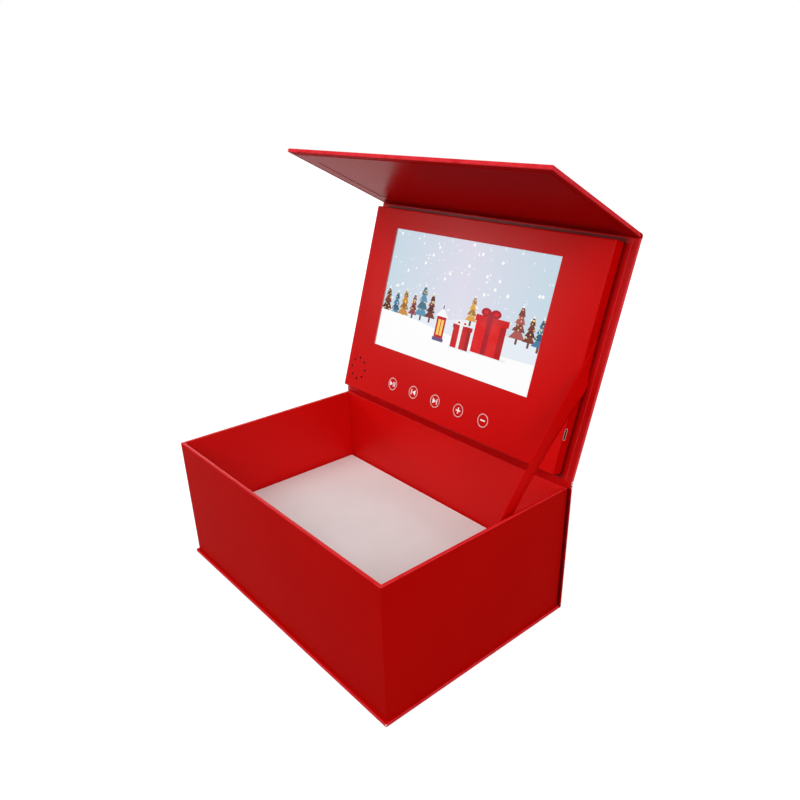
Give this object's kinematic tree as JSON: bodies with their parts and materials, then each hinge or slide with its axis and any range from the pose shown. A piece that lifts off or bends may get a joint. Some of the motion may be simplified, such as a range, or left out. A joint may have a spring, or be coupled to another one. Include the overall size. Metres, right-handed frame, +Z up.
{
  "type": "video gift box with hinged lid",
  "caption": "Rigid book-style gift box with a deep tray, a hinged lid that carries a flat video player with keys, a front flap and a ribbon stay.",
  "frame": {"origin": "underside of the base board, under the middle of the tray", "axes": "+X along the hinges, +Y to the hinge side, +Z up; the lid stands open in the rest pose"},
  "size_m": [0.2282, 0.1956, 0.2777],
  "materials": {
    "red_paper": "soft-touch matt",
    "red_lining": "soft-touch matt",
    "greyboard": "raw board",
    "pale_card": "matt card",
    "red_ribbon": "satin weave",
    "display_glass": "anti-glare film over a lit picture",
    "display_steel": "pressed sheet",
    "light_guide": "clear plastic and films",
    "circuit_green": "solder mask",
    "black_plastic": "moulded",
    "flex_amber": "polyimide film",
    "magnet_nickel": "nickel plate",
    "port_metal": "plated shell",
    "speaker_paper": "treated paper cone",
    "cell_foil": "laminated pouch",
    "wire_jacket": "silicone jacket",
    "tape_white": "double-sided tissue tape"
  },
  "bodies": {
    "box": {"tray_board": "greyboard", "tray_wrap": "red_paper", "tray_platform": "pale_card", "base_board": "greyboard", "base_wrap": "red_paper", "back_board": "greyboard", "back_wrap": "red_paper", "tray_steel_discs": "display_steel", "trigger_magnet": "magnet_nickel", "stay_ribbon": "red_ribbon", "lid_hinge_lining": "red_lining", "lid_hinge_cover": "red_paper"},
    "lid": {"lid_board": "greyboard", "lid_wrap": "red_paper", "lid_lining": "red_lining", "module_tape": "tape_white", "module_back": "greyboard", "module_frame": "greyboard", "module_front": "greyboard", "module_wrap": "red_paper", "display_tray": "display_steel", "display_backlight": "light_guide", "display_panel": "display_glass", "display_flex": "flex_amber", "main_board": "circuit_green", "main_board_chips": "black_plastic", "key_board": "circuit_green", "key_switches": "black_plastic", "speaker_basket": "black_plastic", "speaker_cone": "speaker_paper", "speaker_magnet": "magnet_nickel", "port_shell": "port_metal", "port_tongue": "black_plastic", "cell": "cell_foil", "cell_leads": "wire_jacket", "reed_switch": "black_plastic", "flap_hinge_lining": "red_lining", "flap_hinge_cover": "red_paper"},
    "flap": {"flap_board": "greyboard", "flap_wrap": "red_paper", "flap_lining": "red_lining", "flap_magnets": "magnet_nickel"},
    "play_button": {"play_key": "red_paper"},
    "previous_button": {"previous_key": "red_paper"},
    "next_button": {"next_key": "red_paper"},
    "louder_button": {"louder_key": "red_paper"},
    "quieter_button": {"quieter_key": "red_paper"}
  },
  "joints": [
    {"name": "lid_hinge", "type": "hinge", "parent": "box", "child": "lid", "pos_m": [0, 0.0747, 0.0933], "axis": [1, 0, 0], "range_deg": [0, 107.3], "deforming": ["stay_ribbon", "lid_hinge_lining", "lid_hinge_cover"]},
    {"name": "flap_hinge", "type": "hinge", "parent": "lid", "child": "flap", "pos_m": [0, 0.11925, 0.23632], "axis": [1, 0, 0], "range_deg": [-81.4, 7.5], "deforming": ["flap_hinge_lining", "flap_hinge_cover"]},
    {"name": "play_press", "type": "slide", "parent": "lid", "child": "play_button", "axis": [0, 0.9548, -0.2974], "range_m": [0, 0.0004], "stiffness_N_per_m": 1500},
    {"name": "previous_press", "type": "slide", "parent": "lid", "child": "previous_button", "axis": [0, 0.9548, -0.2974], "range_m": [0, 0.0004], "stiffness_N_per_m": 1500},
    {"name": "next_press", "type": "slide", "parent": "lid", "child": "next_button", "axis": [0, 0.9548, -0.2974], "range_m": [0, 0.0004], "stiffness_N_per_m": 1500},
    {"name": "louder_press", "type": "slide", "parent": "lid", "child": "louder_button", "axis": [0, 0.9548, -0.2974], "range_m": [0, 0.0004], "stiffness_N_per_m": 1500},
    {"name": "quieter_press", "type": "slide", "parent": "lid", "child": "quieter_button", "axis": [0, 0.9548, -0.2974], "range_m": [0, 0.0004], "stiffness_N_per_m": 1500}
  ]
}
